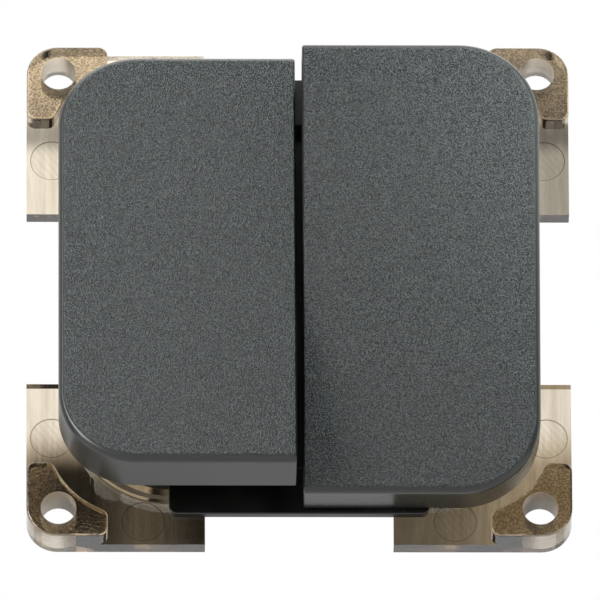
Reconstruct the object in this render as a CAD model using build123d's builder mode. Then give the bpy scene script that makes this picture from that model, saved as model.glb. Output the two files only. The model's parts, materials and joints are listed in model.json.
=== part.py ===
"""Double rocker switch insert: two maintained rockers on a snap-in change-over mechanism.

Millimetres. +X to the right, +Z up, the front faces -Y. The origin is the centre of the four screw
holes, on the rear face of the mounting frame's flange, which lies on the panel. "Out" is the distance in
front of that face, so a point that stands 5 out has Y = -5, and what lies behind the panel has a
negative out.
"""

import math
import os

from build123d import *

# ---------------------------------------------------------------- mounting frame
FRAME_WIDTH = 54.4
FRAME_HEIGHT = 54.0
FRAME_CORNER_R = 3.1
FLANGE_THICK = 1.8
HOLE_D = 3.5
HOLE_INSET_X = 3.2  # hole's centre from the frame's edge
HOLE_INSET_Z = 3.0
NOTCH_LENGTH = 18.8  # open stretch between two ears, on each side
SIDE_RIM = 1.4  # flange left beside the opening in the side notches
OPENING_INSET_X = 4.6  # opening from the frame's edge
OPENING_INSET_Z = 4.9
OPENING_CORNER_R = 9.6
LEDGE_OUT = 0.6  # front of the ledge inside the opening
LEDGE_WIDTH = 1.7
COLLAR_DEPTH = 2.0  # behind the panel
BOSS_OUT = 4.0
BOSS_LEG = 8.1  # along each edge of the corner
BOSS_CLEARANCE = 1.15  # from a rocker's corner
BOSS_END_R = 0.9
BOSS_EDGE_R = 0.25
EJECTOR_MARK_D = 4.2
EJECTOR_MARK_DEPTH = 0.06
EJECTOR_MARK_INSET = 2.5  # from the frame's edge
EJECTOR_MARK_FROM_CORNER = 11.65

# ---------------------------------------------------------------- rockers
CAP_INSET_X = 3.175  # caps' outer edges from the frame's edges
CAP_INSET_Z = 3.35
CAP_GAP = 0.65  # between the two caps
CAP_CORNER_R = 8.0
CAP_INNER_CORNER_R = 0.5
CAP_DEPTH = 5.1
CAP_FACE_THICK = 1.6
CAP_WALL = 1.3
CAP_FACE_EDGE_R = 0.8
CAP_INNER_EDGE_R = 0.25
PIVOT_OUT = 5.75
ROCK = 6.5  # degrees each way from the middle
LEFT_AT_REST = -ROCK  # top pressed in
RIGHT_AT_REST = ROCK  # bottom pressed in

# ---------------------------------------------------------------- rocker carrier, plunger and spring
TRUNNION_R = 2.0
TRUNNION_LENGTH = 17.2
BEARING_CLEARANCE = 0.06
BEARING_WALL = 1.0
BEARING_TO_CAP = 0.4
LUG_THICK = 1.8
LUG_INSET = 0.4  # from the trunnion's end
PLATE_WIDTH = 9.8
PLATE_HEIGHT = 15.0
PLATE_BACK = 1.0  # out of the pivot
CLIP_THICK = 1.0
CLIP_HEIGHT = 4.0
CLIP_NIB = 0.4
SNUG = 0.05  # between pieces that sit against each other
TUBE_R = 2.6
TUBE_REACH = 7.5  # behind the pivot
TUBE_ROOF = 1.5  # tube's blind end, out of the pivot
PLUNGER_R = 1.5
PLUNGER_CLEARANCE = 0.08
PLUNGER_TAIL = 3.5  # behind the pivot
PLUNGER_SHOULDER = 9.5
PLUNGER_REACH = 12.0
PLUNGER_NOSE_R = 1.0
SPRING_WIRE_D = 0.4
SPRING_MEAN_R = 1.15
SPRING_TURNS = 6
SPRING_END_GAP = 0.05

# ---------------------------------------------------------------- contacts and terminals
BLADE_WIDTH = 4.5
BLADE_THICK = 0.6
BLADE_HALF = 8.5
BLADE_RISE = 8.0  # degrees that each arm leans forward in the middle position
NOSE_GAP = 0.1  # plunger to blade, in the middle position
BEAD_R = 0.4
BEAD_CLEARANCE = 0.06
CONTACT_HEIGHT = 7.3  # above and below the blade's middle
BLADE_RIVET_R = 1.3
BLADE_RIVET_HEAD = 0.5
FIXED_RIVET_R = 1.5
FIXED_RIVET_HEAD = 0.5
CONTACT_GAP = 0.05  # left where two contacts touch
TERMINAL_THICK = 0.8
TERMINAL_WIDTH = 6.3
TERMINAL_REACH = 26.0  # tip, behind the panel
TERMINAL_HOLE_D = 1.7
TERMINAL_HOLE_FROM_TIP = 3.5
TERMINAL_TIP_CHAMFER = 1.2
TERMINAL_LEG = 9.6  # middle of the leg, above and below the pivot
SHELF_INNER = 5.4  # inner edge of the contact shelf
CRADLE_HEIGHT = 3.2
CRADLE_DEPTH = 2.0
CRADLE_EAR = 1.4
CRADLE_EAR_THICK = 0.8

# ---------------------------------------------------------------- housing and base
HOUSING_CLEARANCE = 0.3  # inside the frame's ledge
HOUSING_WALL = 1.2
DECK_OUT = 1.1
DECK_THICK = 1.2
SHOULDER_DEPTH = 6.0  # where the wide part ends, behind the panel
WELL_STEP = 0.1  # narrower than the shoulder, on each side
WELL_ROOM = 1.25  # over and under the terminal towers
WELL_CORNER_R = 2.0
WELL_DEPTH = 18.0
TAB_LENGTH = 26.0
TAB_OVERLAP = 1.9  # past the opening's edge, over the front of the flange
TAB_THICK = 0.8
TAB_CORNER_R = 0.8
TAB_EDGE_R = 0.15
TAB_CLEARANCE = 0.15  # from the opening's edge
HOOK_LENGTH = 4.0
HOOK_PROUD = 0.8
HOOK_THICK = 0.9
HOOK_SPACING = 20.0
SLOT_WIDTH = 7.6
SLOT_HEIGHT = 9.6
LUG_FOOT_HEIGHT = 7.0
BASE_CLEARANCE = 0.1
BASE_THICK = 2.2
TOWER_WALL = 0.9
LATCH_LENGTH = 4.0
LATCH_PROUD = 0.6
LATCH_THICK = 1.2
LATCH_FROM_BACK = 1.2
LATCH_SPACING = 14.0
LATCH_CLEARANCE = 0.15
DIVIDER_THICK = 1.2
DIVIDER_OUT = -5.2

# ---------------------------------------------------------------- worked out from the above
OPENING_WIDTH = FRAME_WIDTH - 2 * OPENING_INSET_X
OPENING_HEIGHT = FRAME_HEIGHT - 2 * OPENING_INSET_Z
LEDGE_OPENING_WIDTH = OPENING_WIDTH - 2 * LEDGE_WIDTH
LEDGE_OPENING_HEIGHT = OPENING_HEIGHT - 2 * LEDGE_WIDTH
LEDGE_CORNER_R = OPENING_CORNER_R - LEDGE_WIDTH
CAP_WIDTH = (FRAME_WIDTH - 2 * CAP_INSET_X - CAP_GAP) / 2
CAP_HEIGHT = FRAME_HEIGHT - 2 * CAP_INSET_Z
CAP_X = (CAP_GAP + CAP_WIDTH) / 2
FACE_FROM_PIVOT = TRUNNION_R + BEARING_WALL + BEARING_TO_CAP + CAP_FACE_THICK
CAP_INSIDE = FACE_FROM_PIVOT - CAP_FACE_THICK
SKIRT = FACE_FROM_PIVOT - CAP_DEPTH
LUG_R = TRUNNION_R + BEARING_WALL
LUG_X = TRUNNION_LENGTH / 2 - LUG_INSET - LUG_THICK / 2
BLADE_PIVOT_OUT = PIVOT_OUT - PLUNGER_REACH - NOSE_GAP - BLADE_THICK
CRADLE_OUT = BLADE_PIVOT_OUT - NOSE_GAP
BLADE_CONTACT_BACK = BLADE_PIVOT_OUT - BLADE_RIVET_HEAD
FIXED_CONTACT_FRONT = BLADE_CONTACT_BACK - CONTACT_GAP
SHELF_OUT = FIXED_CONTACT_FRONT - FIXED_RIVET_HEAD
SHELF_BACK = SHELF_OUT - TERMINAL_THICK
TOWER_TOP = TERMINAL_LEG + TERMINAL_THICK / 2 + SNUG + TOWER_WALL
HOUSING_WIDTH = LEDGE_OPENING_WIDTH - 2 * HOUSING_CLEARANCE
HOUSING_HEIGHT = LEDGE_OPENING_HEIGHT - 2 * HOUSING_CLEARANCE
HOUSING_CORNER_R = LEDGE_CORNER_R - HOUSING_CLEARANCE
TAB_TIP = OPENING_HEIGHT / 2 + TAB_OVERLAP
TAB_ROOT = HOUSING_HEIGHT / 2 - HOUSING_WALL
TAB_OUT = FLANGE_THICK + SNUG + TAB_THICK
WELL_WIDTH = HOUSING_WIDTH - 2 * WELL_STEP
WELL_HEIGHT = 2 * (TOWER_TOP + WELL_ROOM + HOUSING_WALL)
BASE_WIDTH = WELL_WIDTH - 2 * HOUSING_WALL - 2 * BASE_CLEARANCE
BASE_HEIGHT = WELL_HEIGHT - 2 * HOUSING_WALL - 2 * BASE_CLEARANCE
CORNERS = [(sx, sz) for sx in (-1, 1) for sz in (-1, 1)]


def facing(out):
    """Plane that faces the front, that far out of the panel: local x is +X and local y is +Z."""
    return Plane.XZ.offset(out)


def rocker_plane(x, turn):
    """Plane at a rocker's pivot, turned by the given degrees about +X: its normal points out of the face."""
    angle = math.radians(turn)
    return Plane((x, -PIVOT_OUT, 0), x_dir=(1, 0, 0), z_dir=(0, -math.cos(angle), -math.sin(angle)))


def blade_plane(x, turn):
    """Plane at a blade's pivot, turned by the given degrees about +X."""
    angle = math.radians(turn)
    return Plane((x, -BLADE_PIVOT_OUT, 0), x_dir=(1, 0, 0), z_dir=(0, -math.cos(angle), -math.sin(angle)))


def across(plane, x):
    """Plane across X at the given distance from another one's origin: local x is out, local y is up."""
    return Plane(plane.origin + plane.x_dir * x, x_dir=plane.z_dir, z_dir=-plane.x_dir)


def save(part, name):
    """Label a finished piece and write it out."""
    part.label = name
    export_step(part, f"parts/{name}.step")


def box_between(x, y, z, mode=Mode.ADD):
    """Box given by its lowest and highest X, out and Z."""
    with Locations(((x[0] + x[1]) / 2, -(y[0] + y[1]) / 2, (z[0] + z[1]) / 2)):
        Box(x[1] - x[0], y[1] - y[0], z[1] - z[0], mode=mode)


# ---------------------------------------------------------------- frame


def make_frame():
    """See-through flange with four bossed ears, the ledge in its opening and the collar behind it."""
    rim_x = OPENING_WIDTH / 2 + SIDE_RIM
    boss_x = FRAME_WIDTH / 2 - BOSS_LEG / 2
    boss_z = FRAME_HEIGHT / 2 - BOSS_LEG / 2
    corner_x = CAP_X + CAP_WIDTH / 2 - CAP_CORNER_R
    corner_z = CAP_HEIGHT / 2 - CAP_CORNER_R
    with BuildPart() as frame:
        with BuildSketch(facing(0)):
            RectangleRounded(FRAME_WIDTH, FRAME_HEIGHT, FRAME_CORNER_R)
            for side in (-1, 1):
                with Locations((side * (rim_x + FRAME_WIDTH / 2) / 2, 0)):
                    Rectangle(FRAME_WIDTH / 2 - rim_x, NOTCH_LENGTH, mode=Mode.SUBTRACT)
                with Locations((0, side * (OPENING_HEIGHT / 2 + FRAME_HEIGHT / 2) / 2)):
                    Rectangle(NOTCH_LENGTH, (FRAME_HEIGHT - OPENING_HEIGHT) / 2, mode=Mode.SUBTRACT)
            RectangleRounded(OPENING_WIDTH, OPENING_HEIGHT, OPENING_CORNER_R, mode=Mode.SUBTRACT)
        extrude(amount=FLANGE_THICK)
        with BuildSketch(facing(-COLLAR_DEPTH)):
            RectangleRounded(OPENING_WIDTH, OPENING_HEIGHT, OPENING_CORNER_R)
            RectangleRounded(
                LEDGE_OPENING_WIDTH,
                LEDGE_OPENING_HEIGHT,
                LEDGE_CORNER_R,
                mode=Mode.SUBTRACT,
            )
        extrude(amount=COLLAR_DEPTH + LEDGE_OUT)
        for sx, sz in CORNERS:
            with BuildSketch(facing(FLANGE_THICK)) as boss:
                with Locations((sx * boss_x, sz * boss_z)):
                    Rectangle(BOSS_LEG, BOSS_LEG)
                with Locations((sx * corner_x, sz * corner_z)):
                    Circle(CAP_CORNER_R + BOSS_CLEARANCE, mode=Mode.SUBTRACT)
                tip = boss.vertices().sort_by_distance((sx * FRAME_WIDTH, sz * FRAME_HEIGHT, 0))
                fillet(tip[0], FRAME_CORNER_R)
                ends = boss.vertices().filter_by(
                    lambda v: abs(abs(v.X) - FRAME_WIDTH / 2 + BOSS_LEG) < 0.01
                    or abs(abs(v.Y) - FRAME_HEIGHT / 2 + BOSS_LEG) < 0.01
                )
                fillet(ends, BOSS_END_R)
            extrude(amount=BOSS_OUT - FLANGE_THICK)
        fillet(frame.faces().filter_by(lambda f: abs(f.center().Y + BOSS_OUT) < 0.01).edges(), BOSS_EDGE_R)
        with BuildSketch(facing(-COLLAR_DEPTH)):
            for sx, sz in CORNERS:
                with Locations((sx * (FRAME_WIDTH / 2 - HOLE_INSET_X), sz * (FRAME_HEIGHT / 2 - HOLE_INSET_Z))):
                    Circle(HOLE_D / 2)
        extrude(amount=COLLAR_DEPTH + BOSS_OUT, mode=Mode.SUBTRACT)
        with BuildSketch(facing(FLANGE_THICK)):
            for sx, sz in CORNERS:
                near_x = FRAME_WIDTH / 2 - EJECTOR_MARK_INSET
                near_z = FRAME_HEIGHT / 2 - EJECTOR_MARK_INSET
                far_x = FRAME_WIDTH / 2 - EJECTOR_MARK_FROM_CORNER
                far_z = FRAME_HEIGHT / 2 - EJECTOR_MARK_FROM_CORNER
                with Locations((sx * near_x, sz * far_z), (sx * far_x, sz * near_z)):
                    Circle(EJECTOR_MARK_D / 2)
        extrude(amount=-EJECTOR_MARK_DEPTH, mode=Mode.SUBTRACT)
    save(frame.part, "mounting_frame")


# ---------------------------------------------------------------- rocker side


def make_cap(name, x, turn, outer):
    """Rocker cap: a grained shell with clips behind its face. Its large corners are on the outer side."""
    plane = rocker_plane(x, turn)
    with BuildPart() as cap:
        with BuildSketch(plane.offset(SKIRT)) as outline:
            Rectangle(CAP_WIDTH, CAP_HEIGHT)
            by_side = outline.vertices().sort_by(Axis.X)
            if outer > 0:
                by_side = by_side[::-1]
            outer_corners = by_side[:2]
            inner_corners = by_side[2:]
            fillet(outer_corners, CAP_CORNER_R)
            fillet(inner_corners, CAP_INNER_CORNER_R)
        extrude(amount=CAP_DEPTH)
        face = cap.faces().sort_by(Axis((0, 0, 0), plane.z_dir))[-1]
        inner_x = x - outer * (CAP_WIDTH / 2 - CAP_INNER_CORNER_R - 0.01)
        far = face.edges().filter_by(lambda e: outer * (e.center().X - inner_x) > 0)
        near = face.edges().filter_by(lambda e: outer * (e.center().X - inner_x) <= 0)
        fillet(far, CAP_FACE_EDGE_R)
        near = cap.edges().filter_by(
            lambda e: e.geom_type == GeomType.LINE
            and abs(e.center().X - x + outer * CAP_WIDTH / 2) < 0.01
            and (e.center() - plane.origin).dot(plane.z_dir) > FACE_FROM_PIVOT - 0.01
        )
        fillet(near, CAP_INNER_EDGE_R)
        with BuildSketch(plane.offset(SKIRT)) as hollow:
            Rectangle(CAP_WIDTH - 2 * CAP_WALL, CAP_HEIGHT - 2 * CAP_WALL)
            by_side = hollow.vertices().sort_by(Axis.X)
            if outer > 0:
                by_side = by_side[::-1]
            fillet(by_side[:2], CAP_CORNER_R - CAP_WALL)
        extrude(amount=CAP_DEPTH - CAP_FACE_THICK, mode=Mode.SUBTRACT)
        clip_x = PLATE_WIDTH / 2 + SNUG
        clip_z = (PLATE_HEIGHT - CLIP_HEIGHT) / 2
        nib_back = PLATE_BACK - SNUG - CLIP_NIB
        for side in (-1, 1):
            for end in (-1, 1):
                with BuildSketch(plane.offset(nib_back)):
                    with Locations((side * (clip_x + CLIP_THICK / 2), end * clip_z)):
                        Rectangle(CLIP_THICK, CLIP_HEIGHT)
                extrude(amount=CAP_INSIDE - nib_back)
                with BuildSketch(plane.offset(nib_back)):
                    with Locations((side * (clip_x + (CLIP_THICK - CLIP_NIB) / 2), end * clip_z)):
                        Rectangle(CLIP_THICK + CLIP_NIB, CLIP_HEIGHT)
                extrude(amount=CLIP_NIB)
    save(cap.part, f"{name}_rocker_cap")


def make_carrier(name, x, turn):
    """Actuator under the cap: clip plate, trunnion shaft and the tube for the plunger."""
    plane = rocker_plane(x, turn)
    with BuildPart() as carrier:
        with BuildSketch(plane.offset(PLATE_BACK)):
            Rectangle(PLATE_WIDTH, PLATE_HEIGHT)
        extrude(amount=CAP_INSIDE - SNUG - PLATE_BACK)
        with BuildSketch(plane.offset(-TUBE_REACH)):
            Circle(TUBE_R)
        extrude(amount=TUBE_REACH + CAP_INSIDE - SNUG)
        with BuildSketch(across(plane, TRUNNION_LENGTH / 2)):
            Circle(TRUNNION_R)
        extrude(amount=TRUNNION_LENGTH)
        chamfer(carrier.edges().filter_by(GeomType.CIRCLE).group_by(Axis.X)[0], BEARING_WALL / 3)
        chamfer(carrier.edges().filter_by(GeomType.CIRCLE).group_by(Axis.X)[-1], BEARING_WALL / 3)
        with BuildSketch(plane.offset(-TUBE_REACH)):
            Circle(PLUNGER_R + PLUNGER_CLEARANCE)
        extrude(amount=TUBE_REACH + TUBE_ROOF, mode=Mode.SUBTRACT)
    save(carrier.part, f"{name}_rocker_carrier")


def make_plunger(name, x, turn):
    """Round-nosed plunger that slides in the carrier's tube."""
    plane = rocker_plane(x, turn)
    with BuildPart() as plunger:
        with BuildSketch(plane.offset(-PLUNGER_SHOULDER)):
            Circle(PLUNGER_R)
        extrude(amount=PLUNGER_SHOULDER - PLUNGER_TAIL)
        with BuildSketch(plane.offset(-PLUNGER_SHOULDER)):
            Circle(PLUNGER_R)
        with BuildSketch(plane.offset(PLUNGER_NOSE_R - PLUNGER_REACH)):
            Circle(PLUNGER_NOSE_R)
        loft()
        with Locations(plane.offset(PLUNGER_NOSE_R - PLUNGER_REACH).location):
            Sphere(PLUNGER_NOSE_R)
    save(plunger.part, f"{name}_plunger")


def make_spring(name, x, turn):
    """Compression spring between the tube's blind end and the plunger's tail."""
    plane = rocker_plane(x, turn)
    space = PLUNGER_TAIL + TUBE_ROOF
    height = space - SPRING_WIRE_D - 2 * SPRING_END_GAP
    start = plane.offset(-PLUNGER_TAIL + SPRING_END_GAP + SPRING_WIRE_D / 2)
    path = Helix(
        pitch=height / SPRING_TURNS,
        height=height,
        radius=SPRING_MEAN_R,
        center=start.origin,
        direction=plane.z_dir,
        mode=Mode.PRIVATE,
    )
    with BuildPart() as spring:
        with BuildSketch(Plane(path @ 0, z_dir=path % 0)):
            Circle(SPRING_WIRE_D / 2)
        sweep(path=path, is_frenet=True)
    save(spring.part, f"{name}_plunger_spring")


# ---------------------------------------------------------------- contact side


def make_blade(name, x, turn):
    """Rocking blade: two arms that lean forward from a bead, and the silver rivets behind their ends."""
    plane = blade_plane(x, turn)
    rise = math.radians(BLADE_RISE)
    with BuildPart() as blade:
        with BuildSketch(across(plane, BLADE_WIDTH / 2)):
            with BuildLine():
                Polyline(
                    (0, 0),
                    (BLADE_HALF * math.sin(rise), BLADE_HALF * math.cos(rise)),
                    (
                        BLADE_HALF * math.sin(rise) + BLADE_THICK * math.cos(rise),
                        BLADE_HALF * math.cos(rise) - BLADE_THICK * math.sin(rise),
                    ),
                    (BLADE_THICK / math.cos(rise), 0),
                    (
                        BLADE_HALF * math.sin(rise) + BLADE_THICK * math.cos(rise),
                        -BLADE_HALF * math.cos(rise) + BLADE_THICK * math.sin(rise),
                    ),
                    (BLADE_HALF * math.sin(rise), -BLADE_HALF * math.cos(rise)),
                    close=True,
                )
            make_face()
            Circle(BEAD_R)
        extrude(amount=BLADE_WIDTH)
    save(blade.part, f"{name}_contact_blade")
    with BuildPart() as rivets:
        for side in (-1, 1):
            arm = blade_plane(x, turn + side * BLADE_RISE)
            with BuildSketch(arm.offset(-BLADE_RIVET_HEAD)):
                with Locations((0, side * CONTACT_HEIGHT)):
                    Circle(BLADE_RIVET_R)
            extrude(amount=BLADE_RIVET_HEAD)
    save(rivets.part, f"{name}_blade_contacts")


def terminal_leg(x, z, front):
    """Push-on tab that runs back from the given out to the tip, with its hole and chamfered corners."""
    with BuildSketch(Plane.XY.offset(z - TERMINAL_THICK / 2)) as leg:
        with Locations((x, (TERMINAL_REACH - front) / 2)):
            Rectangle(TERMINAL_WIDTH, TERMINAL_REACH + front)
        chamfer(leg.vertices().group_by(Axis.Y)[-1], TERMINAL_TIP_CHAMFER)
        with Locations((x, TERMINAL_REACH - TERMINAL_HOLE_FROM_TIP)):
            Circle(TERMINAL_HOLE_D / 2, mode=Mode.SUBTRACT)
    extrude(leg.sketch, amount=TERMINAL_THICK)


def make_terminals(name, x):
    """Common terminal with the blade's cradle, and the two change-over terminals with their rivets."""
    half = TERMINAL_WIDTH / 2
    with BuildPart() as common:
        terminal_leg(x, 0, CRADLE_OUT - CRADLE_DEPTH / 2)
        box_between(
            (x - half, x + half),
            (CRADLE_OUT - CRADLE_DEPTH, CRADLE_OUT),
            (-CRADLE_HEIGHT / 2, CRADLE_HEIGHT / 2),
        )
        for side in (-1, 1):
            inner = BLADE_WIDTH / 2 + 2 * SNUG
            box_between(
                sorted((x + side * inner, x + side * half)),
                (CRADLE_OUT - CRADLE_DEPTH, CRADLE_OUT + CRADLE_EAR),
                (-CRADLE_EAR_THICK, CRADLE_EAR_THICK),
            )
        with BuildSketch(across(blade_plane(x, 0), BLADE_WIDTH / 2 + 2 * SNUG)):
            Circle(BEAD_R + BEAD_CLEARANCE)
        extrude(amount=BLADE_WIDTH + 4 * SNUG, mode=Mode.SUBTRACT)
    save(common.part, f"{name}_common_terminal")
    for level, side in (("upper", 1), ("lower", -1)):
        with BuildPart() as terminal:
            terminal_leg(x, side * TERMINAL_LEG, SHELF_OUT)
            box_between(
                (x - half, x + half),
                (SHELF_BACK, SHELF_OUT),
                sorted((side * SHELF_INNER, side * (TERMINAL_LEG + TERMINAL_THICK / 2))),
            )
        save(terminal.part, f"{name}_{level}_terminal")
        with BuildPart() as rivet:
            with BuildSketch(facing(SHELF_OUT)):
                with Locations((x, side * CONTACT_HEIGHT)):
                    Circle(FIXED_RIVET_R)
            extrude(amount=FIXED_RIVET_HEAD)
            fillet(rivet.edges().sort_by(Axis.Y)[0], FIXED_RIVET_HEAD / 2)
        save(rivet.part, f"{name}_{level}_fixed_contact")


# ---------------------------------------------------------------- housing and base


def well_outline(inset, corner):
    """Outline of the well, drawn in by the given inset, which never passes the shoulder's rounded corners."""
    RectangleRounded(WELL_WIDTH - 2 * inset, WELL_HEIGHT - 2 * inset, corner)
    RectangleRounded(
        HOUSING_WIDTH - 2 * inset,
        HOUSING_HEIGHT - 2 * inset,
        HOUSING_CORNER_R - inset,
        mode=Mode.INTERSECT,
    )


def make_housing():
    """Black housing: deck with the bearing lugs and tabs, wide shoulder and the well behind it."""
    with BuildPart() as housing:
        with BuildSketch(facing(-SHOULDER_DEPTH)):
            RectangleRounded(HOUSING_WIDTH, HOUSING_HEIGHT, HOUSING_CORNER_R)
        extrude(amount=SHOULDER_DEPTH + DECK_OUT)
        with BuildSketch(facing(-WELL_DEPTH)):
            well_outline(0, WELL_CORNER_R)
        extrude(amount=WELL_DEPTH)
        with BuildSketch(facing(HOUSING_WALL - SHOULDER_DEPTH)):
            RectangleRounded(
                HOUSING_WIDTH - 2 * HOUSING_WALL,
                HOUSING_HEIGHT - 2 * HOUSING_WALL,
                HOUSING_CORNER_R - HOUSING_WALL,
            )
        extrude(amount=SHOULDER_DEPTH - HOUSING_WALL + DECK_OUT - DECK_THICK, mode=Mode.SUBTRACT)
        with BuildSketch(facing(-WELL_DEPTH)):
            well_outline(HOUSING_WALL, WELL_CORNER_R - HOUSING_WALL)
        extrude(amount=WELL_DEPTH + DECK_OUT - DECK_THICK, mode=Mode.SUBTRACT)
        box_between(
            (-DIVIDER_THICK / 2, DIVIDER_THICK / 2),
            (DIVIDER_OUT + SNUG, DECK_OUT),
            (-HOUSING_HEIGHT / 2 + HOUSING_WALL, HOUSING_HEIGHT / 2 - HOUSING_WALL),
        )
        for side in (-1, 1):
            box_between(
                (-TAB_LENGTH / 2, TAB_LENGTH / 2),
                (LEDGE_OUT + SNUG, TAB_OUT - TAB_THICK),
                sorted((side * TAB_ROOT, side * (OPENING_HEIGHT / 2 - TAB_CLEARANCE))),
            )
            with BuildSketch(facing(TAB_OUT - TAB_THICK)) as tab:
                with Locations((0, side * (TAB_TIP + TAB_ROOT) / 2)):
                    Rectangle(TAB_LENGTH, TAB_TIP - TAB_ROOT)
                fillet(
                    tab.vertices().filter_by(lambda v: abs(v.Y) > TAB_TIP - 0.01),
                    TAB_CORNER_R,
                )
            extrude(amount=TAB_THICK)
            fillet(
                housing.faces().filter_by(lambda f: abs(f.center().Y + TAB_OUT) < 0.01).sort_by(Axis.Z)[
                    0 if side < 0 else -1
                ].edges(),
                TAB_EDGE_R,
            )
            for hook_x in (-HOOK_SPACING / 2, HOOK_SPACING / 2):
                with BuildSketch(Plane((hook_x + HOOK_LENGTH / 2, COLLAR_DEPTH, 0), (0, 1, 0), (-1, 0, 0))):
                    with BuildLine():
                        Polyline(
                            (SNUG, side * HOUSING_HEIGHT / 2),
                            (SNUG, side * (HOUSING_HEIGHT / 2 + HOOK_PROUD)),
                            (SNUG + HOOK_THICK / 3, side * (HOUSING_HEIGHT / 2 + HOOK_PROUD)),
                            (SNUG + 2 * HOOK_THICK, side * HOUSING_HEIGHT / 2),
                            close=True,
                        )
                    make_face()
                extrude(amount=HOOK_LENGTH)
            with BuildSketch(facing(DECK_OUT - DECK_THICK)):
                with Locations((side * CAP_X, 0)):
                    RectangleRounded(SLOT_WIDTH, SLOT_HEIGHT, PLUNGER_NOSE_R)
            extrude(amount=DECK_THICK, mode=Mode.SUBTRACT)
            for lug in (-1, 1):
                middle = side * CAP_X + lug * LUG_X
                lug_plane = Plane((middle + LUG_THICK / 2, -PIVOT_OUT, 0), (0, -1, 0), (-1, 0, 0))
                with BuildSketch(lug_plane):
                    Circle(LUG_R)
                    with BuildLine():
                        Polyline(
                            (0, LUG_R),
                            (0, -LUG_R),
                            (DECK_OUT - PIVOT_OUT, -LUG_FOOT_HEIGHT / 2),
                            (DECK_OUT - PIVOT_OUT, LUG_FOOT_HEIGHT / 2),
                            close=True,
                        )
                    make_face()
                    Circle(TRUNNION_R + BEARING_CLEARANCE, mode=Mode.SUBTRACT)
                extrude(amount=LUG_THICK)
            for level in (-1, 1):
                edge = WELL_WIDTH / 2
                middle = level * LATCH_SPACING / 2
                box_between(
                    sorted((side * (edge - HOUSING_WALL), side * edge)),
                    (
                        LATCH_FROM_BACK - LATCH_CLEARANCE - WELL_DEPTH,
                        LATCH_FROM_BACK + LATCH_THICK + LATCH_CLEARANCE - WELL_DEPTH,
                    ),
                    (
                        middle - LATCH_LENGTH / 2 - LATCH_CLEARANCE,
                        middle + LATCH_LENGTH / 2 + LATCH_CLEARANCE,
                    ),
                    mode=Mode.SUBTRACT,
                )
    save(housing.part, "mechanism_housing")


def make_base():
    """Rear cover with the towers that hold the terminals, the divider and the side latches."""
    floor = BASE_THICK - WELL_DEPTH
    tower_half = TERMINAL_WIDTH / 2 + TOWER_WALL
    slot_half = TERMINAL_THICK / 2 + SNUG
    with BuildPart() as base:
        with BuildSketch(facing(-WELL_DEPTH)):
            well_outline(HOUSING_WALL + BASE_CLEARANCE, WELL_CORNER_R - HOUSING_WALL)
        extrude(amount=BASE_THICK)
        box_between(
            (-DIVIDER_THICK / 2, DIVIDER_THICK / 2),
            (floor, DIVIDER_OUT),
            (-BASE_HEIGHT / 2, BASE_HEIGHT / 2),
        )
        for side in (-1, 1):
            x = side * CAP_X
            box_between(
                (x - tower_half, x + tower_half),
                (floor, CRADLE_OUT - CRADLE_DEPTH - SNUG),
                (-CRADLE_HEIGHT / 2, CRADLE_HEIGHT / 2),
            )
            for level in (-1, 1):
                box_between(
                    (x - tower_half, x + tower_half),
                    (floor, SHELF_BACK - SNUG),
                    sorted((level * SHELF_INNER, level * TOWER_TOP)),
                )
                latch_z = level * LATCH_SPACING / 2
                back = LATCH_FROM_BACK - WELL_DEPTH
                with BuildSketch(Plane.XY.offset(latch_z - LATCH_LENGTH / 2)):
                    with BuildLine():
                        Polyline(
                            (side * BASE_WIDTH / 2, -back),
                            (side * (BASE_WIDTH / 2 + LATCH_PROUD), -back),
                            (side * BASE_WIDTH / 2, -back - LATCH_THICK),
                            close=True,
                        )
                    make_face()
                extrude(amount=LATCH_LENGTH)
            for z in (-TERMINAL_LEG, 0, TERMINAL_LEG):
                box_between(
                    (x - TERMINAL_WIDTH / 2 - SNUG, x + TERMINAL_WIDTH / 2 + SNUG),
                    (-WELL_DEPTH, SHELF_BACK),
                    (z - slot_half, z + slot_half),
                    mode=Mode.SUBTRACT,
                )
    save(base.part, "contact_base")


os.makedirs("parts", exist_ok=True)
make_frame()
make_housing()
make_base()
for side_name, side_sign, at_rest in (("left", -1, LEFT_AT_REST), ("right", 1, RIGHT_AT_REST)):
    centre = side_sign * CAP_X
    blade_turn = -at_rest * BLADE_RISE / ROCK
    make_cap(side_name, centre, at_rest, side_sign)
    make_carrier(side_name, centre, at_rest)
    make_plunger(side_name, centre, at_rest)
    make_spring(side_name, centre, at_rest)
    make_blade(side_name, centre, blade_turn)
    make_terminals(side_name, centre)
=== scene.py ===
"""Looks for the double rocker switch insert: see-through frame, grained caps, black housing, brass tabs."""

import json
import math

import bpy
from mathutils import Matrix, Quaternion, Vector


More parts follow.
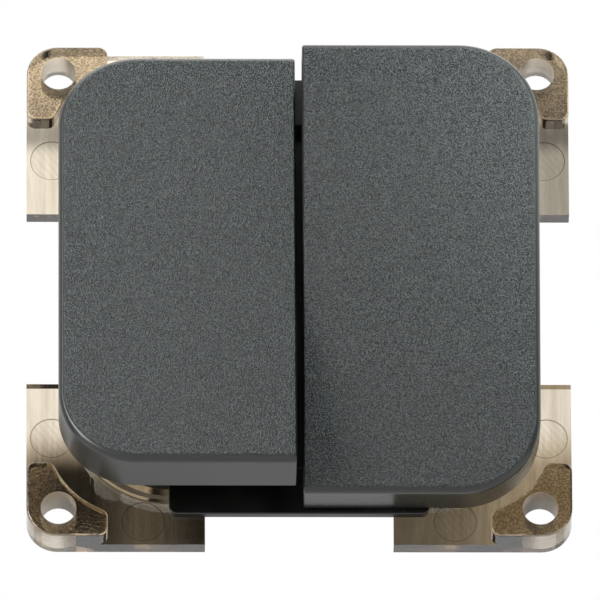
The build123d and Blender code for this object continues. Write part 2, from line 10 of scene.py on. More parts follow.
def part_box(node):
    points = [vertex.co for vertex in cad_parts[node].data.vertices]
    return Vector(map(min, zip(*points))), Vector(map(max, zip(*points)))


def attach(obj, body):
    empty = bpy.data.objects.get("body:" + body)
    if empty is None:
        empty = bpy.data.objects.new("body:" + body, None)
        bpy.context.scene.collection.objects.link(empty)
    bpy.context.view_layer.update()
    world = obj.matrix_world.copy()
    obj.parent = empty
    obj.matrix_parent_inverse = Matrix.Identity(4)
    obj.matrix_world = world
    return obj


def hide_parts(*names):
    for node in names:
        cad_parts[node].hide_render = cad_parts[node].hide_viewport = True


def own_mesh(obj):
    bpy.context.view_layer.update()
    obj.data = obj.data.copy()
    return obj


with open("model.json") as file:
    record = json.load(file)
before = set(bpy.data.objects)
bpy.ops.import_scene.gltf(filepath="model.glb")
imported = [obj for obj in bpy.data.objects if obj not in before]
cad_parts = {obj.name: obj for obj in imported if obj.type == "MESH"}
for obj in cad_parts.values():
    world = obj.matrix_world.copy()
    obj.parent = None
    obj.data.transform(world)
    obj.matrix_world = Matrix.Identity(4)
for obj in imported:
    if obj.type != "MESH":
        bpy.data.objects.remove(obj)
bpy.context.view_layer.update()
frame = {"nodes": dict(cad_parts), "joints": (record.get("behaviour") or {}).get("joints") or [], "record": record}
record = frame["record"]
nodes = frame["nodes"]
joints = {j["name"]: j for j in frame["joints"]}
SIDES = ("left", "right")
MM = 0.001
WHITE = (1.0, 1.0, 1.0)


# ---------------------------------------------------------------- node helpers


def add_node(tree, kind, place, inputs=None, **settings):
    """A node in a tree, with its settings and its input values or links."""
    node = tree.nodes.new(kind)
    node.location = place
    for key, value in settings.items():
        setattr(node, key, value)
    for key, value in (inputs or {}).items():
        if isinstance(value, bpy.types.NodeSocket):
            tree.links.new(value, node.inputs[key])
        else:
            node.inputs[key].default_value = value
    return node


def math_node(tree, operation, first, second=None, place=(0, 0)):
    """Result of a Math node."""
    inputs = {0: first}
    if second is not None:
        inputs[1] = second
    return add_node(tree, "ShaderNodeMath", place, inputs, operation=operation).outputs[0]


def scale_and_add(tree, value, factor, offset, place=(0, 50)):
    """A value times a factor, plus an offset."""
    inputs = {0: value, 1: factor, 2: offset}
    return add_node(tree, "ShaderNodeMath", place, inputs, operation="MULTIPLY_ADD").outputs[0]


def vector_node(tree, operation, first, second=None, place=(0, 0)):
    """Result of a Vector Math node: a number for a distance or a dot product, otherwise a vector."""
    inputs = {0: first}
    if second is not None:
        inputs[1] = second
    outputs = add_node(tree, "ShaderNodeVectorMath", place, inputs, operation=operation).outputs
    return outputs["Value" if operation in ("DISTANCE", "DOT_PRODUCT") else "Vector"]


def split(tree, vector, place):
    """The X, Y and Z parts of a vector."""
    return add_node(tree, "ShaderNodeSeparateXYZ", place, {0: vector}).outputs


def ramp(tree, value, low, high, place=(0, 0), to_low=0.0, to_high=1.0, shape="SMOOTHSTEP"):
    """Step of a value from one bound to the other, smooth unless its shape is LINEAR."""
    inputs = {"Value": value, "From Min": low, "From Max": high, "To Min": to_low, "To Max": to_high}
    return add_node(tree, "ShaderNodeMapRange", place, inputs, interpolation_type=shape).outputs["Result"]


def mix_colour(tree, factor, first, second, place=(0, 0)):
    """Mix of two colours, each a constant or a link."""
    first, second = (v if isinstance(v, bpy.types.NodeSocket) else (*v, 1.0) for v in (first, second))
    inputs = {0: factor, 6: first, 7: second}
    return add_node(tree, "ShaderNodeMix", place, inputs, data_type="RGBA").outputs[2]


def mix_value(tree, factor, first, second, place=(0, 0)):
    """Mix of two values or links."""
    inputs = {0: factor, 2: first, 3: second}
    return add_node(tree, "ShaderNodeMix", place, inputs, data_type="FLOAT").outputs[0]


def value_ramp(tree, value, stops, place=(0, 0)):
    """Grey levels at the given places along a value from 0 to 1."""
    node = add_node(tree, "ShaderNodeValToRGB", place, {"Fac": value})
    marks = node.color_ramp.elements
    while len(marks) < len(stops):
        marks.new(0.5)
    for mark, (at, level) in zip(marks, stops):
        mark.position = at
        mark.color = (level, level, level, 1)
    return node.outputs["Color"]


def noise(tree, position, scale, detail, place, roughness=0.5):
    """Soft noise from 0 to 1, with its scale in blotches per metre."""
    inputs = {"Vector": position, "Scale": scale, "Detail": detail, "Roughness": roughness}
    return add_node(tree, "ShaderNodeTexNoise", place, inputs).outputs["Fac"]


def remap(tree, position, place, **settings):
    """Position stretched by a Scale or turned by a Rotation."""
    return add_node(tree, "ShaderNodeMapping", place, {"Vector": position, **settings}).outputs[0]


def bump(tree, height, distance, strength=1.0, place=(300, -300), normal=None):
    """Bump node's normal from a height, with its distance in metres."""
    inputs = {"Height": height, "Distance": distance, "Strength": strength}
    if normal is not None:
        inputs["Normal"] = normal
    return add_node(tree, "ShaderNodeBump", place, inputs).outputs["Normal"]


def bare_tree(owner):
    """Emptied node tree of a material or a world."""
    owner.use_nodes = True
    owner.node_tree.nodes.clear()
    return owner.node_tree


def new_material(name):
    """Material with a Principled shader, and its tree, shader and Object coordinates."""
    material = bpy.data.materials.new(name)
    tree = bare_tree(material)
    output = add_node(tree, "ShaderNodeOutputMaterial", (900, 0))
    shader = add_node(tree, "ShaderNodeBsdfPrincipled", (550, 0))
    tree.links.new(shader.outputs["BSDF"], output.inputs["Surface"])
    position = add_node(tree, "ShaderNodeTexCoord", (-1200, 0)).outputs["Object"]
    return material, tree, shader, position


def set_shader(shader, **values):
    """Constant values set straight on the shader's sockets: Base_Color stands for Base Color."""
    for key, value in values.items():
        shader.inputs[key.replace("_", " ")].default_value = value


def drive_shader(tree, shader, **sources):
    """Varying values linked to the shader's sockets: Base_Color stands for Base Color."""
    for key, source in sources.items():
        tree.links.new(source, shader.inputs[key.replace("_", " ")])


# ---------------------------------------------------------------- shared effects


def new_group(name, inputs, outputs):
    """Empty shader node group that takes a Position and the named sizes, and puts out the named masks."""
    group = bpy.data.node_groups.new(name, "ShaderNodeTree")
    group.interface.new_socket("Position", in_out="INPUT", socket_type="NodeSocketVector")
    for label, value in inputs.items():
        socket = group.interface.new_socket(label, in_out="INPUT", socket_type="NodeSocketFloat")
        socket.default_value = value
    for label in outputs:
        group.interface.new_socket(label, in_out="OUTPUT", socket_type="NodeSocketFloat")
    start = add_node(group, "NodeGroupInput", (-900, 0))
    end = add_node(group, "NodeGroupOutput", (900, 0))
    return group, start.outputs, end.inputs


def make_mould_grain():
    """Fine spark-eroded grain: its height and a mask of its pits, at a given grain size in metres."""
    cell_share, blotch_share = 0.45, 0.9
    pits_begin, pits_full = 0.50, 0.82
    group, given, result = new_group("mould_grain", {"Grain Size": 0.28 * MM}, ("Height", "Pits"))
    scale = math_node(group, "DIVIDE", 1.0, given["Grain Size"], (-700, 200))
    cells = add_node(
        group,
        "ShaderNodeTexVoronoi",
        (-400, 250),
        {"Vector": given["Position"], "Scale": scale, "Randomness": 1.0},
        feature="SMOOTH_F1",
    ).outputs["Distance"]
    blotches = noise(group, given["Position"], scale, 1.0, (-400, -50))
    height = math_node(
        group,
        "ADD",
        math_node(group, "MULTIPLY", cells, cell_share, (-150, 250)),
        math_node(group, "MULTIPLY", blotches, blotch_share, (-150, -50)),
        (50, 100),
    )
    group.links.new(height, result["Height"])
    group.links.new(ramp(group, height, pits_begin, pits_full, (300, -150)), result["Pits"])
    return group


def make_handling_marks():
    """Uneven handling marks: a soft cloudy mask and a fine dust mask."""
    finer = 22.0
    clouds_begin, clouds_full, dust_begins, dust_full = 0.3, 0.7, 0.72, 0.8
    group, given, result = new_group("handling_marks", {"Size": 12 * MM}, ("Clouds", "Dust"))
    scale = math_node(group, "DIVIDE", 1.0, given["Size"], (-700, 200))
    clouds = noise(group, given["Position"], scale, 4.0, (-400, 200), roughness=0.55)
    fine = math_node(group, "MULTIPLY", scale, finer, (-550, -100))
    specks = noise(group, given["Position"], fine, 1.0, (-400, -100))
    group.links.new(ramp(group, clouds, clouds_begin, clouds_full, (0, 200)), result["Clouds"])
    group.links.new(ramp(group, specks, dust_begins, dust_full, (0, -100)), result["Dust"])
    return group


MOULD_GRAIN = make_mould_grain()
HANDLING_MARKS = make_handling_marks()


def mould_grain(tree, position, grain_size, place):
    """Height and Pits of the mould grain at one grain size."""
    inputs = {"Position": position, "Grain Size": grain_size}
    return add_node(tree, "ShaderNodeGroup", place, inputs, node_tree=MOULD_GRAIN).outputs


def handling_marks(tree, position, size, place):
    """Clouds and Dust of the handling marks at one size."""
    inputs = {"Position": position, "Size": size}
    return add_node(tree, "ShaderNodeGroup", place, inputs, node_tree=HANDLING_MARKS).outputs


# ---------------------------------------------------------------- cap material


def cap_material(side):
    """Slate-grey cap: spark-eroded grain on the flat face only, satin walls and edges. The grain's pits carry
    painted shade and its tips a painted highlight, and the walls carry painted shade.
    """
    # wall is the slate darkened by painted shade.
    slate, lighter, wall = (0.008, 0.011, 0.011), (0.135, 0.157, 0.157), (0.036, 0.041, 0.037)
    haze, haze_share = (0.085, 0.092, 0.090), 0.12
    wall_roughness, added_on_face = 0.27, 0.14
    grain_size, satin_size, marks_size = 0.125 * MM, 0.11 * MM, 14 * MM
    grain_depth, satin_depth = 0.20 * MM, 0.006 * MM
    pivot = Vector(joints[f"{side}_rocker_rock"]["pos_m"])
    out = Vector(joints[f"{side}_plunger_slide"]["axis"])
    face = max((v.co - pivot).dot(out) for v in nodes[f"{side}_rocker_cap"].data.vertices)

    material, tree, shader, position = new_material(f"{side}_cap_slate")
    from_pivot = vector_node(tree, "SUBTRACT", position, pivot, (-950, 100))
    height = vector_node(tree, "DOT_PRODUCT", from_pivot, out, (-750, 100))
    on_face = ramp(tree, height, face - 0.10 * MM, face - 0.01 * MM, (-550, 100))
    grain = mould_grain(tree, position, grain_size, (-550, -150))
    satin = mould_grain(tree, position, satin_size, (-550, -400))
    marks = handling_marks(tree, position, marks_size, (-550, 350))

    # Painted shade in the grain's pits and a painted highlight on its tips; the grain itself is real.
    face_colour_with_painted_pit_shade = mix_colour(tree, grain["Pits"], slate, lighter, (-250, 350))
    # The walls take the darker wall colour: painted shade.
    colour = mix_colour(tree, on_face, wall, face_colour_with_painted_pit_shade, (0, 300))
    cloudy = math_node(tree, "MULTIPLY", marks["Clouds"], haze_share, (0, 500))
    fine = bump(tree, satin["Height"], satin_depth, 0.5, (100, -450))
    grain_on_face = math_node(tree, "MULTIPLY", grain["Height"], on_face, (0, -200))
    drive_shader(
        tree,
        shader,
        Base_Color=mix_colour(tree, cloudy, colour, haze, (200, 300)),
        Roughness=scale_and_add(tree, on_face, added_on_face, wall_roughness),
        Normal=bump(tree, grain_on_face, grain_depth, 1.0, (320, -300), fine),
    )
    set_shader(shader, Specular_IOR_Level=0.5, IOR=1.5)
    return material


# ---------------------------------------------------------------- frame material


def fold_quarters(tree, position):
    """Position across the plate, without its depth and with the four quarters folded into one."""
    flat = vector_node(tree, "MULTIPLY", position, Vector((1, 0, 1)), (-1300, -500))
    return vector_node(tree, "ABSOLUTE", flat, place=(-1150, -500))


def ejector_marks(tree, quarter, depth):
    """Masks of the round ejector marks on the flange's front: their outlines and the discs inside them."""
    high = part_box("mounting_frame")[1]
    near, far, radius, flange_middle = 2.5 * MM, 11.65 * MM, 2.1 * MM, -0.9 * MM
    in_front = math_node(tree, "LESS_THAN", depth, flange_middle)
    masks = []
    for x, z in ((high.x - near, high.z - far), (high.x - far, high.z - near)):
        away = vector_node(tree, "DISTANCE", quarter, Vector((x, 0, z)), (-1000, -500))
        off_line = math_node(tree, "ABSOLUTE", math_node(tree, "SUBTRACT", away, radius))
        outline = ramp(tree, off_line, 0.07 * MM, 0.03 * MM)
        disc = ramp(tree, away, radius + 0.02 * MM, radius - 0.02 * MM)
        masks.append((outline, disc))
    return [
        math_node(tree, "MULTIPLY", in_front, math_node(tree, "MAXIMUM", first, second))
        for first, second in zip(*masks)
    ]


def hole_walls(tree, quarter):
    """Mask of the screw holes' frosted walls."""
    screws = next(m for m in record["mounts"] if m["name"] == "panel_screws")["dims"]
    centre = Vector((screws["spacing_x_mm"] / 2, 0, screws["spacing_y_mm"] / 2)) * MM
    radius = screws["hole_r_mm"] * MM
    away = vector_node(tree, "DISTANCE", quarter, centre, (-1000, -900))
    return ramp(tree, away, radius + 0.03 * MM, radius + 0.01 * MM)


def lower_walls(tree, parts):
    """Mask of the upper bosses' lower walls, which get painted shade because they face the shade below them."""
    boss_leg, flange_front = 8.1 * MM, -1.9 * MM
    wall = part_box("mounting_frame")[1].z - boss_leg
    at_wall = ramp(tree, parts["Z"], wall + 0.25 * MM, wall + 0.05 * MM)
    above_middle = math_node(tree, "GREATER_THAN", parts["Z"], 0.0)
    in_front = math_node(tree, "LESS_THAN", parts["Y"], flange_front)
    return math_node(tree, "MULTIPLY", at_wall, math_node(tree, "MULTIPLY", above_middle, in_front))


def hatching(tree, position):
    """Slanting tool marks, from 0 to 1."""
    slanted = remap(tree, position, (-950, -700), Rotation=(0, math.radians(38), 0))
    return add_node(
        tree,
        "ShaderNodeTexWave",
        (-700, -700),
        {"Vector": slanted, "Scale": 1 / (1.9 * MM), "Distortion": 2.5, "Detail": 2.0, "Detail Scale": 1.5},
        bands_direction="X",
    ).outputs["Fac"]


def clear_flange(tree, position, streaks, outlines, discs):
    """Colour of the clear flange: pale and darker flow lines, and the ejector marks."""
    pale, streaked = (0.99, 0.97, 0.93), (0.74, 0.71, 0.64)
    hatched, outlined, hatch_share = (0.45, 0.41, 0.33), (0.22, 0.19, 0.14), 0.30
    in_streak, out_of_streak = 0.35, 0.65
    paleness = ramp(tree, streaks, in_streak, out_of_streak)
    colour = mix_colour(tree, paleness, streaked, pale, (-350, 300))
    in_disc = math_node(tree, "MULTIPLY", discs, hatch_share)
    hatch = math_node(tree, "MULTIPLY", hatching(tree, position), in_disc)
    return mix_colour(tree, outlines, mix_colour(tree, hatch, colour, hatched), outlined)


def smoky_material():
    """See-through smoky plastic: clear flange with flow lines, finely grained boss tops."""
    boss_dark, boss_light = (0.11, 0.095, 0.070), (0.40, 0.36, 0.30)
    # shaded is the colour of the painted shade on the upper bosses' lower walls.
    shaded, frosting = (0.04, 0.033, 0.022), (0.98, 0.97, 0.95)
    clear_roughness, added_on_boss, frosted_roughness = 0.06, 0.10, 0.55
    grain_size, streak_width, streak_depth, grain_depth = 0.18 * MM, 1.1 * MM, 0.03 * MM, 0.02 * MM
    smoke_colour, smoke_density = (0.76, 0.525, 0.135, 1.0), 200.0
    boss_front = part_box("mounting_frame")[0].y

    material, tree, shader, position = new_material("smoky_clear")
    parts = split(tree, position, (-950, 200))
    quarter = fold_quarters(tree, position)
    on_boss = ramp(tree, parts["Y"], boss_front + 0.20 * MM, boss_front + 0.02 * MM, (-700, 250))
    grain = mould_grain(tree, position, grain_size, (-700, -50))
    drawn_out = remap(tree, position, (-950, -300), Scale=(1.0, 1.0, 0.10))
    streaks = noise(tree, drawn_out, 1 / streak_width, 3.0, (-700, -300), roughness=0.6)
    frosted = hole_walls(tree, quarter)

    clear = clear_flange(tree, position, streaks, *ejector_marks(tree, quarter, parts["Y"]))
    mottled = mix_colour(tree, grain["Pits"], boss_dark, boss_light, (-350, 500))
    surface = mix_colour(tree, on_boss, clear, mottled, (0, 350))
    # Painted shade on the upper bosses' lower walls.
    surface = mix_colour(tree, lower_walls(tree, parts), surface, shaded, (100, 350))
    roughness = scale_and_add(tree, on_boss, added_on_boss, clear_roughness)
    on_flange = math_node(tree, "SUBTRACT", 1.0, on_boss)
    flow = bump(tree, math_node(tree, "MULTIPLY", streaks, on_flange), streak_depth, 0.5, (0, -300))
    grain_on_boss = math_node(tree, "MULTIPLY", grain["Height"], on_boss, (-350, -100))
    drive_shader(
        tree,
        shader,
        Base_Color=mix_colour(tree, frosted, surface, frosting, (200, 350)),
        Roughness=mix_value(tree, frosted, roughness, frosted_roughness, (200, 50)),
        Normal=bump(tree, grain_on_boss, grain_depth, 1.0, (300, -250), flow),
    )
    set_shader(shader, Metallic=0.0, Transmission_Weight=1.0, IOR=1.58)
    smoke = add_node(
        tree, "ShaderNodeVolumeAbsorption", (550, -450), {"Color": smoke_colour, "Density": smoke_density}
    )
    tree.links.new(smoke.outputs[0], tree.nodes["Material Output"].inputs["Volume"])
    return material


# ---------------------------------------------------------------- other materials


def moulded_material(name, dark, light, roughness, grain_size, depth):
    """Plain moulded plastic: two close shades, handling marks and a fine grain."""
    marks_size, added_in_clouds = 9 * MM, 0.15
    dust = tuple(4 * v + 0.01 for v in light)
    material, tree, shader, position = new_material(name)
    grain = mould_grain(tree, position, grain_size, (-700, -150))
    marks = handling_marks(tree, position, marks_size, (-700, 200))
    colour = mix_colour(tree, marks["Clouds"], dark, light, (-300, 300))
    drive_shader(
        tree,
        shader,
        Base_Color=mix_colour(tree, marks["Dust"], colour, dust, (0, 300)),
        Roughness=scale_and_add(tree, marks["Clouds"], added_in_clouds, roughness),
        Normal=bump(tree, grain["Height"], depth),
    )
    return material


def metal_material(name, base, tarnish, roughness, stretch):
    """Stamped or drawn metal: fine lines along the rolling direction and cloudy tarnish."""
    marks_size, line_width, line_depth, added_in_lines = 4 * MM, 0.12 * MM, 0.004 * MM, 0.20
    material, tree, shader, position = new_material(name)
    drawn_out = remap(tree, position, (-950, -200), Scale=stretch)
    lines = noise(tree, drawn_out, 1 / line_width, 2.0, (-700, -200))
    marks = handling_marks(tree, position, marks_size, (-700, 200))
    drive_shader(
        tree,
        shader,
        Base_Color=mix_colour(tree, marks["Clouds"], base, tarnish, (-300, 300)),
        Roughness=scale_and_add(tree, lines, added_in_lines, roughness),
        Normal=bump(tree, lines, line_depth),
    )
    set_shader(shader, Metallic=1.0)
    return material


def dress():
    """Give every CAD node its material."""
    along_y, along_z, all_ways = (1.0, 0.05, 1.0), (1.0, 1.0, 0.05), (1, 1, 1)
    plastics = {
        name: moulded_material(name, dark, light, roughness, grain_size * MM, depth * MM)
        for name, dark, light, roughness, grain_size, depth in (
            ("housing_black", (0.010, 0.009, 0.008), (0.016, 0.015, 0.014), 0.30, 0.20, 0.004),
            ("base_charcoal", (0.026, 0.026, 0.028), (0.036, 0.036, 0.038), 0.42, 0.15, 0.012),
            ("actuator_dark", (0.030, 0.030, 0.031), (0.042, 0.042, 0.043), 0.38, 0.15, 0.008),
            ("plunger_natural", (0.66, 0.64, 0.58), (0.74, 0.72, 0.67), 0.30, 0.15, 0.004),
        )
    }
    metals = {
        name: metal_material(name, base, tarnish, roughness, stretch)
        for name, base, tarnish, roughness, stretch in (
            ("tab_brass", (0.72, 0.53, 0.24), (0.52, 0.36, 0.15), 0.24, along_y),
            ("blade_bronze", (0.70, 0.44, 0.26), (0.50, 0.28, 0.15), 0.26, along_z),
            ("contact_silver", (0.86, 0.85, 0.82), (0.62, 0.60, 0.56), 0.22, all_ways),
            ("spring_steel", (0.60, 0.60, 0.61), (0.46, 0.46, 0.47), 0.22, along_y),
        )
    }
    finish = {
        "mounting_frame": smoky_material(),
        "mechanism_housing": plastics["housing_black"],
        "contact_base": plastics["base_charcoal"],
    }
    for side in SIDES:
        finish[f"{side}_rocker_cap"] = cap_material(side)
        finish[f"{side}_rocker_carrier"] = plastics["actuator_dark"]
        finish[f"{side}_plunger"] = plastics["plunger_natural"]
        finish[f"{side}_plunger_spring"] = metals["spring_steel"]
        finish[f"{side}_contact_blade"] = metals["blade_bronze"]
        finish[f"{side}_blade_contacts"] = metals["contact_silver"]
        finish[f"{side}_common_terminal"] = metals["tab_brass"]
        for level in ("upper", "lower"):
            finish[f"{side}_{level}_terminal"] = metals["tab_brass"]
            finish[f"{side}_{level}_fixed_contact"] = metals["contact_silver"]
    for name, material in finish.items():
        slots = nodes[name].data.materials
        slots.clear()
        slots.append(material)


# ---------------------------------------------------------------- plunger springs


def add_object(name, data):
    """New object in the scene that holds a mesh, a light or a camera."""
    thing = bpy.data.objects.new(name, data)
    bpy.context.scene.collection.objects.link(thing)
    return thing


def make_coil_tree():
    """Geometry Nodes tree of a coil spring that climbs +Z from the origin, with named sizes."""
    steps_per_turn, wire_sides = 40, 12
    tree = bpy.data.node_groups.new("coil_spring", "GeometryNodeTree")
    for label in ("Turns", "Height", "Mean Radius", "Wire Radius"):
        tree.interface.new_socket(label, in_out="INPUT", socket_type="NodeSocketFloat")
    tree.interface.new_socket("Material", in_out="INPUT", socket_type="NodeSocketMaterial")
    tree.interface.new_socket("Geometry", in_out="OUTPUT", socket_type="NodeSocketGeometry")
    sizes = add_node(tree, "NodeGroupInput", (-600, 0)).outputs
    coil = add_node(
        tree,
        "GeometryNodeCurveSpiral",
        (-350, 100),
        {
            "Resolution": steps_per_turn,
            "Rotations": sizes["Turns"],
            "Start Radius": sizes["Mean Radius"],
            "End Radius": sizes["Mean Radius"],
            "Height": sizes["Height"],
        },
    )
    wire = add_node(
        tree,
        "GeometryNodeCurvePrimitiveCircle",
        (-350, -200),
        {"Resolution": wire_sides, "Radius": sizes["Wire Radius"]},
    )
    shape = add_node(
        tree,
        "GeometryNodeCurveToMesh",
        (-100, 0),
        {"Curve": coil.outputs["Curve"], "Profile Curve": wire.outputs["Curve"], "Fill Caps": True},
    ).outputs["Mesh"]
    for kind, across, more in (
        ("GeometryNodeSetShadeSmooth", 100, {}),
        ("GeometryNodeRealizeInstances", 300, {}),
        ("GeometryNodeSetMaterial", 500, {"Material": sizes["Material"]}),
    ):
        shape = add_node(tree, kind, (across, 0), {"Geometry": shape, **more}).outputs["Geometry"]
    add_node(tree, "NodeGroupOutput", (700, 0), {"Geometry": shape})
    return tree


def wind_spring(name, tree, sizes):
    """Plain mesh of a coil spring of the given sizes."""
    blank = add_object(f"{name}_blank", bpy.data.meshes.new(f"{name}_blank"))
    winding = blank.modifiers.new("coil", "NODES")
    winding.node_group = tree
    for item in tree.interface.items_tree:
        if item.in_out == "INPUT":
            winding[item.identifier] = sizes[item.name]
    bpy.context.view_layer.update()
    mesh = bpy.data.meshes.new_from_object(blank.evaluated_get(bpy.context.evaluated_depsgraph_get()))
    mesh.name = name
    blank.modifiers.remove(winding)
    bpy.data.objects.remove(blank)
    return mesh


def make_spring(side, tree):
    """One plunger spring, wound where the CAD node lies and attached to the rocker's body."""
    wire_radius, turns, end_gap = 0.2 * MM, 6.0, 0.05 * MM
    node = nodes[f"{side}_plunger_spring"]
    slide = joints[f"{side}_plunger_slide"]
    pivot = Vector(joints[f"{side}_rocker_rock"]["pos_m"])
    out = Vector(slide["axis"]).normalized()
    from_pivot = [v.co - pivot for v in node.data.vertices]
    along = [v.dot(out) for v in from_pivot]
    outer = max((v - out * v.dot(out)).length for v in from_pivot)
    low, high = min(along), max(along)
    sizes = {
        "Turns": turns,
        "Height": high - low - 2 * wire_radius,
        "Mean Radius": outer - wire_radius,
        "Wire Radius": wire_radius,
        "Material": node.data.materials[0],
    }
    mesh = wind_spring(f"{side}_coil_spring", tree, sizes)
    turn = out.to_track_quat("Z", "Y").to_matrix().to_4x4()
    mesh.transform(Matrix.Translation(pivot + out * (low + wire_radius)) @ turn)

    spring = add_object(f"{side}_coil_spring", mesh)
    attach(spring, f"{side}_rocker")
    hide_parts(f"{side}_plunger_spring")
    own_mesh(spring)


# ---------------------------------------------------------------- studio


def make_world():
    """Room that is white behind the object and dim in front of it, where the softboxes give the light.

    A dimmer band lies from eye level down, and what shows steeply down through the plastic is darker
    ground. The camera itself sees plain white all round.
    """
    dim, ground, band_level = (0.05, 0.05, 0.05), (0.22, 0.19, 0.15), 0.50
    world = bpy.data.worlds.new("studio")
    bpy.context.scene.world = world
    tree = bare_tree(world)
    direction = add_node(tree, "ShaderNodeTexCoord", (-900, 0)).outputs["Generated"]
    parts = split(tree, direction, (-700, 0))
    rays = add_node(tree, "ShaderNodeLightPath", (-450, 400)).outputs

    behind = ramp(tree, parts["Y"], -0.25, 0.35, (-450, 100))
    band_foot = ramp(tree, parts["Z"], -0.50, -0.30, (-450, -150))
    band_top = ramp(tree, parts["Z"], 0.12, 0.0, (-450, -350))
    band = math_node(tree, "MULTIPLY", band_foot, band_top, (-300, -200))
    open_room = ramp(tree, band, 0.0, 1.0, (-300, -400), 1.0, band_level)
    room = mix_colour(tree, behind, dim, open_room, (-200, 100))
    below = ramp(tree, parts["Z"], -0.45, -0.65, (-450, 600))
    through_plastic = math_node(tree, "MULTIPLY", below, rays["Is Transmission Ray"], (-200, 500))
    room = mix_colour(tree, through_plastic, room, ground, (-50, 400))
    colour = mix_colour(tree, rays["Is Camera Ray"], room, WHITE, (100, 200))
    background = add_node(tree, "ShaderNodeBackground", (300, 0), {"Color": colour, "Strength": 1.0})
    add_node(tree, "ShaderNodeOutputWorld", (500, 0), {"Surface": background.outputs[0]})


def softbox(name, place, target, size, power, diffuse=True, glossy=True, only=None):
    """Rectangular soft light that the camera doesn't see, with its place, target and size in mm.

    It serves the matt shading, the highlights or both, and all pieces or only one.
    """
    light = bpy.data.lights.new(name, "AREA")
    light.shape = "RECTANGLE"
    light.size, light.size_y = (edge * MM for edge in size)
    light.energy = power
    lamp = add_object(name, light)
    lamp.location = Vector(place) * MM
    aim = Vector(target) * MM - lamp.location
    lamp.rotation_euler = aim.to_track_quat("-Z", "Y").to_euler()
    lamp.visible_camera = False
    lamp.visible_transmission = False
    lamp.visible_diffuse = diffuse
    lamp.visible_glossy = glossy
    if only is not None:
        lit = bpy.data.collections.new(f"{name}_lights")
        lit.objects.link(nodes[only])
        lamp.light_linking.receiver_collection = lit


def make_lamps():
    """Light from above and in front, a small matt light for each cap and a gleam from the left."""
    middle = (0, 0, 0)
    softbox("key_box", (-40, -190, 228), middle, (260, 150), power=0.28)
    softbox("top_box", (0, 60, 320), middle, (400, 300), power=0.5)
    for name, place, target, size, power, piece in (
        ("right_near", (70, -44, 34), (14, -12, 4), (20, 20), 0.085, "right_rocker_cap"),
        ("left_fill", (-110, -150, 90), (-12, -10, 0), (60, 60), 0.27, "left_rocker_cap"),
    ):
        softbox(name, place, target, size, power, glossy=False, only=piece)
    softbox("left_card", (-225, -180, 45), middle, (120, 300), power=1.1, diffuse=False)


def add_sheet(name, corners, material):
    """Flat four-cornered piece of the studio."""
    mesh = bpy.data.meshes.new(name)
    mesh.from_pydata(corners, [], [(0, 1, 2, 3)])
    mesh.materials.append(material)
    return add_object(name, mesh)


def make_floor():
    """Plain pale floor, well below the object. It shows to the camera and in gloss only."""
    half, level = 6.0, -1.45
    material, _, shader, _ = new_material("pale_floor")
    set_shader(
        shader,
        Base_Color=(0.8, 0.8, 0.79, 1.0),
        Roughness=0.7,
        Emission_Color=(*WHITE, 1.0),
        Emission_Strength=0.8,
    )
    corners = [(-half, -half, level), (half, -half, level), (half, half, level), (-half, half, level)]
    floor = add_sheet("floor", corners, material)
    floor.visible_transmission = False
    floor.visible_diffuse = False


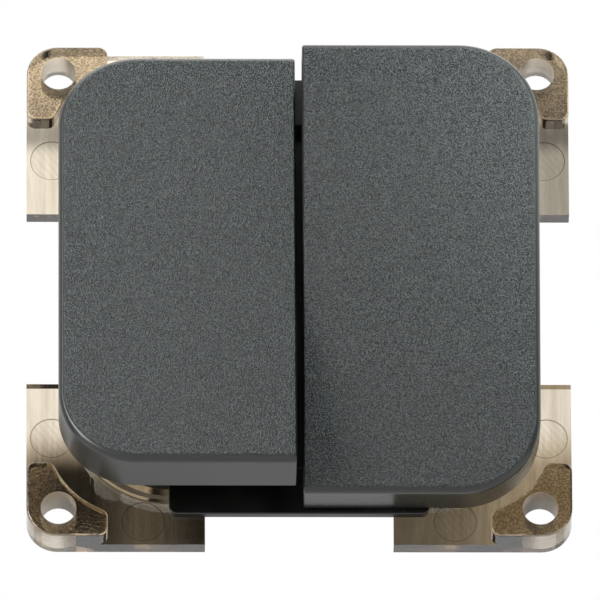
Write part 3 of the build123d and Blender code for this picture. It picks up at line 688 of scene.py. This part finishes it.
def shade_card_material():
    """Glow of the shade card: painted light and painted shadow that change with its height and across its width.

    Heights are those of the plate in front of it, because a line of sight from below climbs by the
    rise on its way from the plate to the card. Levels run from left to right, as (place, level).
    """
    half_width, rise = 28 * MM, 28 * MM
    # Painted light falling off across the card, and the insert's painted shadow.
    right_fall_off = ((0.0, 1.0), (0.5, 1.0), (0.85, 0.41), (1.0, 0.41))
    left_fall_off = ((0.0, 0.82), (0.5, 0.80), (1.0, 0.73))
    left_shadow = ((0.0, 0.42), (0.03, 0.17), (0.05, 0.02), (0.14, 0.02), (0.23, 0.12), (0.32, 0.02))
    right_shadow = ((0.5, 0.05), (0.66, 0.12), (0.73, 0.14), (0.82, 0.20), (0.91, 0.40), (1.0, 0.45))
    warm_shade, lower_level, upper_level = (1.0, 0.87, 0.68), 1.15, 1.0

    material = bpy.data.materials.new("shaded_card")
    tree = bare_tree(material)
    position = add_node(tree, "ShaderNodeTexCoord", (-1200, 0)).outputs["Object"]
    parts = split(tree, position, (-1000, 0))
    height = math_node(tree, "SUBTRACT", parts["Z"], rise, (-800, -100))
    across = ramp(tree, parts["X"], -half_width, half_width, (-800, 300), shape="LINEAR")

    shadow = value_ramp(tree, across, left_shadow + right_shadow, (-500, 300))
    upper_light = value_ramp(tree, across, right_fall_off, (-500, 600))
    lower_light = value_ramp(tree, across, left_fall_off, (-500, 900))
    is_upper = ramp(tree, height, -6 * MM, 8 * MM, (-500, 0))
    shadow_begins = ramp(tree, height, -13.5 * MM, -19 * MM, (-500, -250))
    shadow_ends = ramp(tree, height, -28.3 * MM, -28.8 * MM, (-500, -700), 1.0, 0.0)
    far_below = ramp(tree, height, -42 * MM, -48 * MM, (-500, -900))
    near_shadow = math_node(tree, "MULTIPLY", shadow_begins, shadow_ends)
    in_shadow = math_node(tree, "MAXIMUM", near_shadow, far_below)
    # Painted shade just under the upper bosses' height, and painted light above it.
    under_boss = ramp(tree, height, 17 * MM, 19 * MM, (-700, -500), 1.2, 0.50)
    above_boss = ramp(tree, height, 19.5 * MM, 25 * MM, (-700, -650), 1.0, 3.5)
    by_boss = math_node(tree, "MULTIPLY", under_boss, above_boss, (-500, -500))

    open_light = mix_value(tree, is_upper, lower_light, upper_light, (-200, 400))
    open_light = math_node(tree, "MULTIPLY", open_light, by_boss, (-50, 200))
    level = mix_value(tree, is_upper, lower_level, upper_level, (-50, 0))
    open_light = math_node(tree, "MULTIPLY", open_light, level, (50, 200))
    glow = mix_value(tree, in_shadow, open_light, shadow, (100, 100))
    tint = mix_colour(tree, in_shadow, WHITE, warm_shade, (100, -200))
    # The card glows though it is no lamp: painted light, and painted shadow where in_shadow is set.
    emission = add_node(tree, "ShaderNodeEmission", (300, 0), {"Color": tint, "Strength": glow})
    add_node(tree, "ShaderNodeOutputMaterial", (500, 0), {"Surface": emission.outputs[0]})
    return material


def make_shade_card():
    """White card behind the plate that glows, with the insert's shadow painted where it would keep the light off
    it.

    Only light that has passed through plastic meets it.
    """
    half, depth, low, high = 75 * MM, 60 * MM, -260 * MM, 90 * MM
    corners = [(-half, depth, low), (half, depth, low), (half, depth, high), (-half, depth, high)]
    card = add_sheet("shade_card", corners, shade_card_material())
    card.visible_camera = False
    card.visible_diffuse = False
    card.visible_glossy = False
    card.visible_shadow = False


def make_camera():
    """Long lens from below the face, turned by a hair to the left and rolled to keep the rows level."""
    azimuth, elevation, roll = math.radians(-0.8), math.radians(-25.19), math.radians(0.26)
    distance, image_width = 2388 * MM, 60.1 * MM
    off_right, off_up = 0.20 * MM, 0.71 * MM
    back = Vector(
        (
            math.sin(azimuth) * math.cos(elevation),
            -math.cos(azimuth) * math.cos(elevation),
            math.sin(elevation),
        )
    )
    right = Vector((math.cos(azimuth), math.sin(azimuth), 0))
    up = back.cross(right)
    camera = bpy.data.cameras.new("camera")
    camera.sensor_width = 36.0
    camera.lens = camera.sensor_width * distance / image_width
    camera.clip_start, camera.clip_end = 0.1, 50.0
    viewer = add_object("camera", camera)
    viewer.location = right * off_right + up * off_up + back * distance
    turn = (-back).to_track_quat("-Z", "Y") @ Quaternion((0, 0, 1), -roll)
    viewer.rotation_euler = turn.to_euler()
    bpy.context.scene.camera = viewer


dress()
coil_tree = make_coil_tree()
for side in SIDES:
    make_spring(side, coil_tree)
make_world()
make_floor()
make_shade_card()
make_lamps()
make_camera()
bpy.context.scene.view_settings.view_transform = "Standard"
